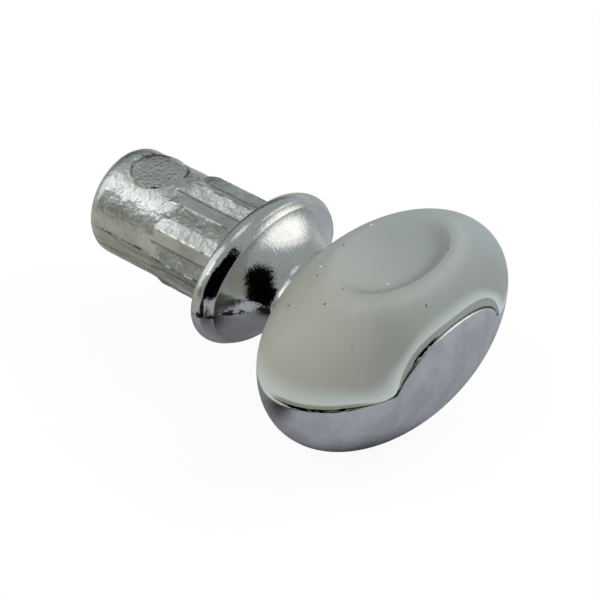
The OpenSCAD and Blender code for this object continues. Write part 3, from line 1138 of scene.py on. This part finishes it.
# %% [markdown]
# ## What the metal sees
#
# Polished metal has almost no look of its own: it shows the room. A studio sets that room with a tent,
# screens and flags, and so does this cell. One closed tent stands round the part, and its brightness is
# painted on it in soft-edged patches: a dark flag on the camera's side, a white screen behind the part, and
# another at its left. A table card lies under the part, with the long foot of the dark flag and a painted
# shadow of the part on it. Only glossy rays see tent and card, so they change no light on the pad or the
# floor.

# %% The tent's patches
TENT_GREY = (0.385, 0.42, 0.425)
PATCHES = {
    # name: (azimuth, elevation, half width, half height, tilt, softness, colour)
    "left_low": (-140, -22, 50, 26, 0, 0.8, (0.42, 0.42, 0.385)),
    "left_screen": (-157, 32, 22, 32, 0, 0.5, (1.05, 1.08, 1.08)),
    "left_core": (-136, 42, 13, 11, 0, 0.7, (1.5, 1.53, 1.53)),
    "ceiling_light": (152, 68, 26, 10, 0, 0.8, (0.95, 0.97, 0.97)),
    "back_shade": (140, 12, 32, 11, 0, 0.8, (0.12, 0.13, 0.13)),
    "left_gap": (-122, 8, 17, 9, 0, 0.8, (0.24, 0.25, 0.22)),
    "lavender_side": (98, -16, 30, 34, 0, 0.9, (0.6, 0.62, 0.66)),
    "white_screen": (56, 33, 27, 21, 0, 0.9, (1.5, 1.5, 1.46)),
    "brown_flag": (-24, -4, 36, 34, 0, 0.45, (0.1, 0.095, 0.07)),
    "low_flag": (-76, -14, 15, 30, 0, 0.5, (0.01, 0.01, 0.01)),
    "flag_wing": (-82, 38, 15, 20, 0, 0.4, (0.001, 0.001, 0.001)),
    "dark_flag": (-49, 35, 50, 33, 32, 0.2, (0.001, 0.001, 0.001)),
}


def tent_colours(directions):
    """The tent's colour in each direction. Each patch is a turned ellipse in azimuth and elevation, whose
    share falls from 1 to 0 over its softness, and later patches lie over earlier ones."""
    azimuth = np.degrees(np.arctan2(directions[:, 1], directions[:, 0]))
    elevation = np.degrees(np.arcsin(np.clip(directions[:, 2], -1, 1)))
    colours = np.tile(TENT_GREY, (len(directions), 1))
    for at, up, wide, high, tilt, soft, colour in PATCHES.values():
        a, e = (azimuth - at + 180) % 360 - 180, elevation - up
        c, t = math.cos(math.radians(tilt)), math.sin(math.radians(tilt))
        reach = np.hypot((a * c + e * t) / wide, (e * c - a * t) / high)
        share = 1 - smooth_step((reach - 1) / soft + 0.5)
        colours += (np.array(colour) - colours) * share[:, None]
    return colours


# %% Tent and table card
def glow_material(name):
    """A sheet that shines with the colours painted on it."""
    m, tree, out = new_material(name)
    painted = put(tree, "Attribute", attribute_name="glow").outputs["Color"]
    tree.links.new(put(tree, "Emission", {"Color": painted}).outputs[0], out.inputs[0])
    return m


def glossy_only(stage):
    """Hides a stage piece from everything but reflections."""
    for ray in ("camera", "diffuse", "transmission", "shadow", "volume_scatter"):
        setattr(stage, "visible_" + ray, False)


def make_tent():
    """A closed tent of rings round the part, with its colours as an attribute."""
    lift = np.radians(np.linspace(-89, 89, 120))[:, None]
    turn = np.linspace(0, 2 * math.pi, 240, endpoint=False)[None]
    rings = np.stack([np.cos(lift) * np.cos(turn), np.cos(lift) * np.sin(turn), np.sin(lift) + 0 * turn], -1)
    piece = skin("tent", TENT_R * rings, (0, 0, -TENT_R), (0, 0, TENT_R))
    colours = tent_colours(np.concatenate([rings.reshape(-1, 3), [(0, 0, -1), (0, 0, 1)]]))
    attribute = piece.data.attributes.new("glow", "FLOAT_COLOR", "POINT")
    attribute.data.foreach_set("color", np.c_[colours, np.ones(len(colours))].astype(np.float32).ravel())
    piece.data.materials.append(glow_material("tent"))
    glossy_only(piece)


make_tent()


PAINTED_SHADOW_AT = (6.6, -1.8, FLOOR_Z)
FOOT_AT, FOOT_TURN, FOOT_SIZE = (42.0, -330.0, FLOOR_Z), (0, 0, math.radians(7)), (18.0, 330.5, 1.0)


def table_material():
    """A lavender-grey table, a little olive on the left, with a painted shadow where the part stands over it,
    and black on the long oval foot of the dark flag."""
    m, tree, out = new_material("table_card")
    place = place_in_mm(tree)
    across = remap(tree, along_axis(tree, place, "X"), -7.0, -2.0)
    colour = blend(tree, across, (0.42, 0.42, 0.375), (0.39, 0.405, 0.445))
    # A painted shadow of the part on the table, round the place under the head.
    away = put(tree, "VectorMath", {0: place, 1: PAINTED_SHADOW_AT}, operation="DISTANCE").outputs["Value"]
    colour = blend(tree, remap(tree, away, 1.6, 4.2, 1.0, 0.0), colour, (0.12, 0.12, 0.135))
    placing = {"Vector": place, "Location": FOOT_AT, "Rotation": FOOT_TURN, "Scale": FOOT_SIZE}
    from_foot = put(tree, "Mapping", placing, vector_type="TEXTURE").outputs[0]
    reach = put(tree, "VectorMath", {0: from_foot}, operation="LENGTH").outputs["Value"]
    colour = blend(tree, remap(tree, reach, 0.97, 1.0, 1.0, 0.0), colour, (0.01, 0.01, 0.01))
    tree.links.new(put(tree, "BsdfDiffuse", {"Color": colour}).outputs[0], out.inputs[0])
    return m


glossy_only(sheet("table_card", level_square(WIDE, FLOOR_Z + 0.005), table_material()))
print("tent patches:", list(PATCHES))

# %% [markdown]
# ## Lamps
#
# Two large soft lamps light the pad and the floor. They are hidden from glossy rays, because the tent's
# screens already stand for them there.

# %% Lamps
LIT_AT = (3, 0, 0)


def area_light(name, at, size, power, colour):
    """A soft square light at a place in millimetres, turned to the part."""
    data = bpy.data.lights.new(name, "AREA")
    data.size = size * MM
    data.energy = power
    data.color = colour
    light = bpy.data.objects.new(name, data)
    bpy.context.scene.collection.objects.link(light)
    back = unit(np.array(at, float) - LIT_AT)
    side = unit(np.cross((0, 0, 1), back))
    light.matrix_world = placement((side, np.cross(back, side), back), at)
    light.visible_glossy = False


area_light("window", (95, 110, 120), 150, 0.22, (0.93, 0.99, 1.0))
area_light("front_fill", (-60, -110, 120), 160, 0.1, (1.0, 0.97, 0.9))
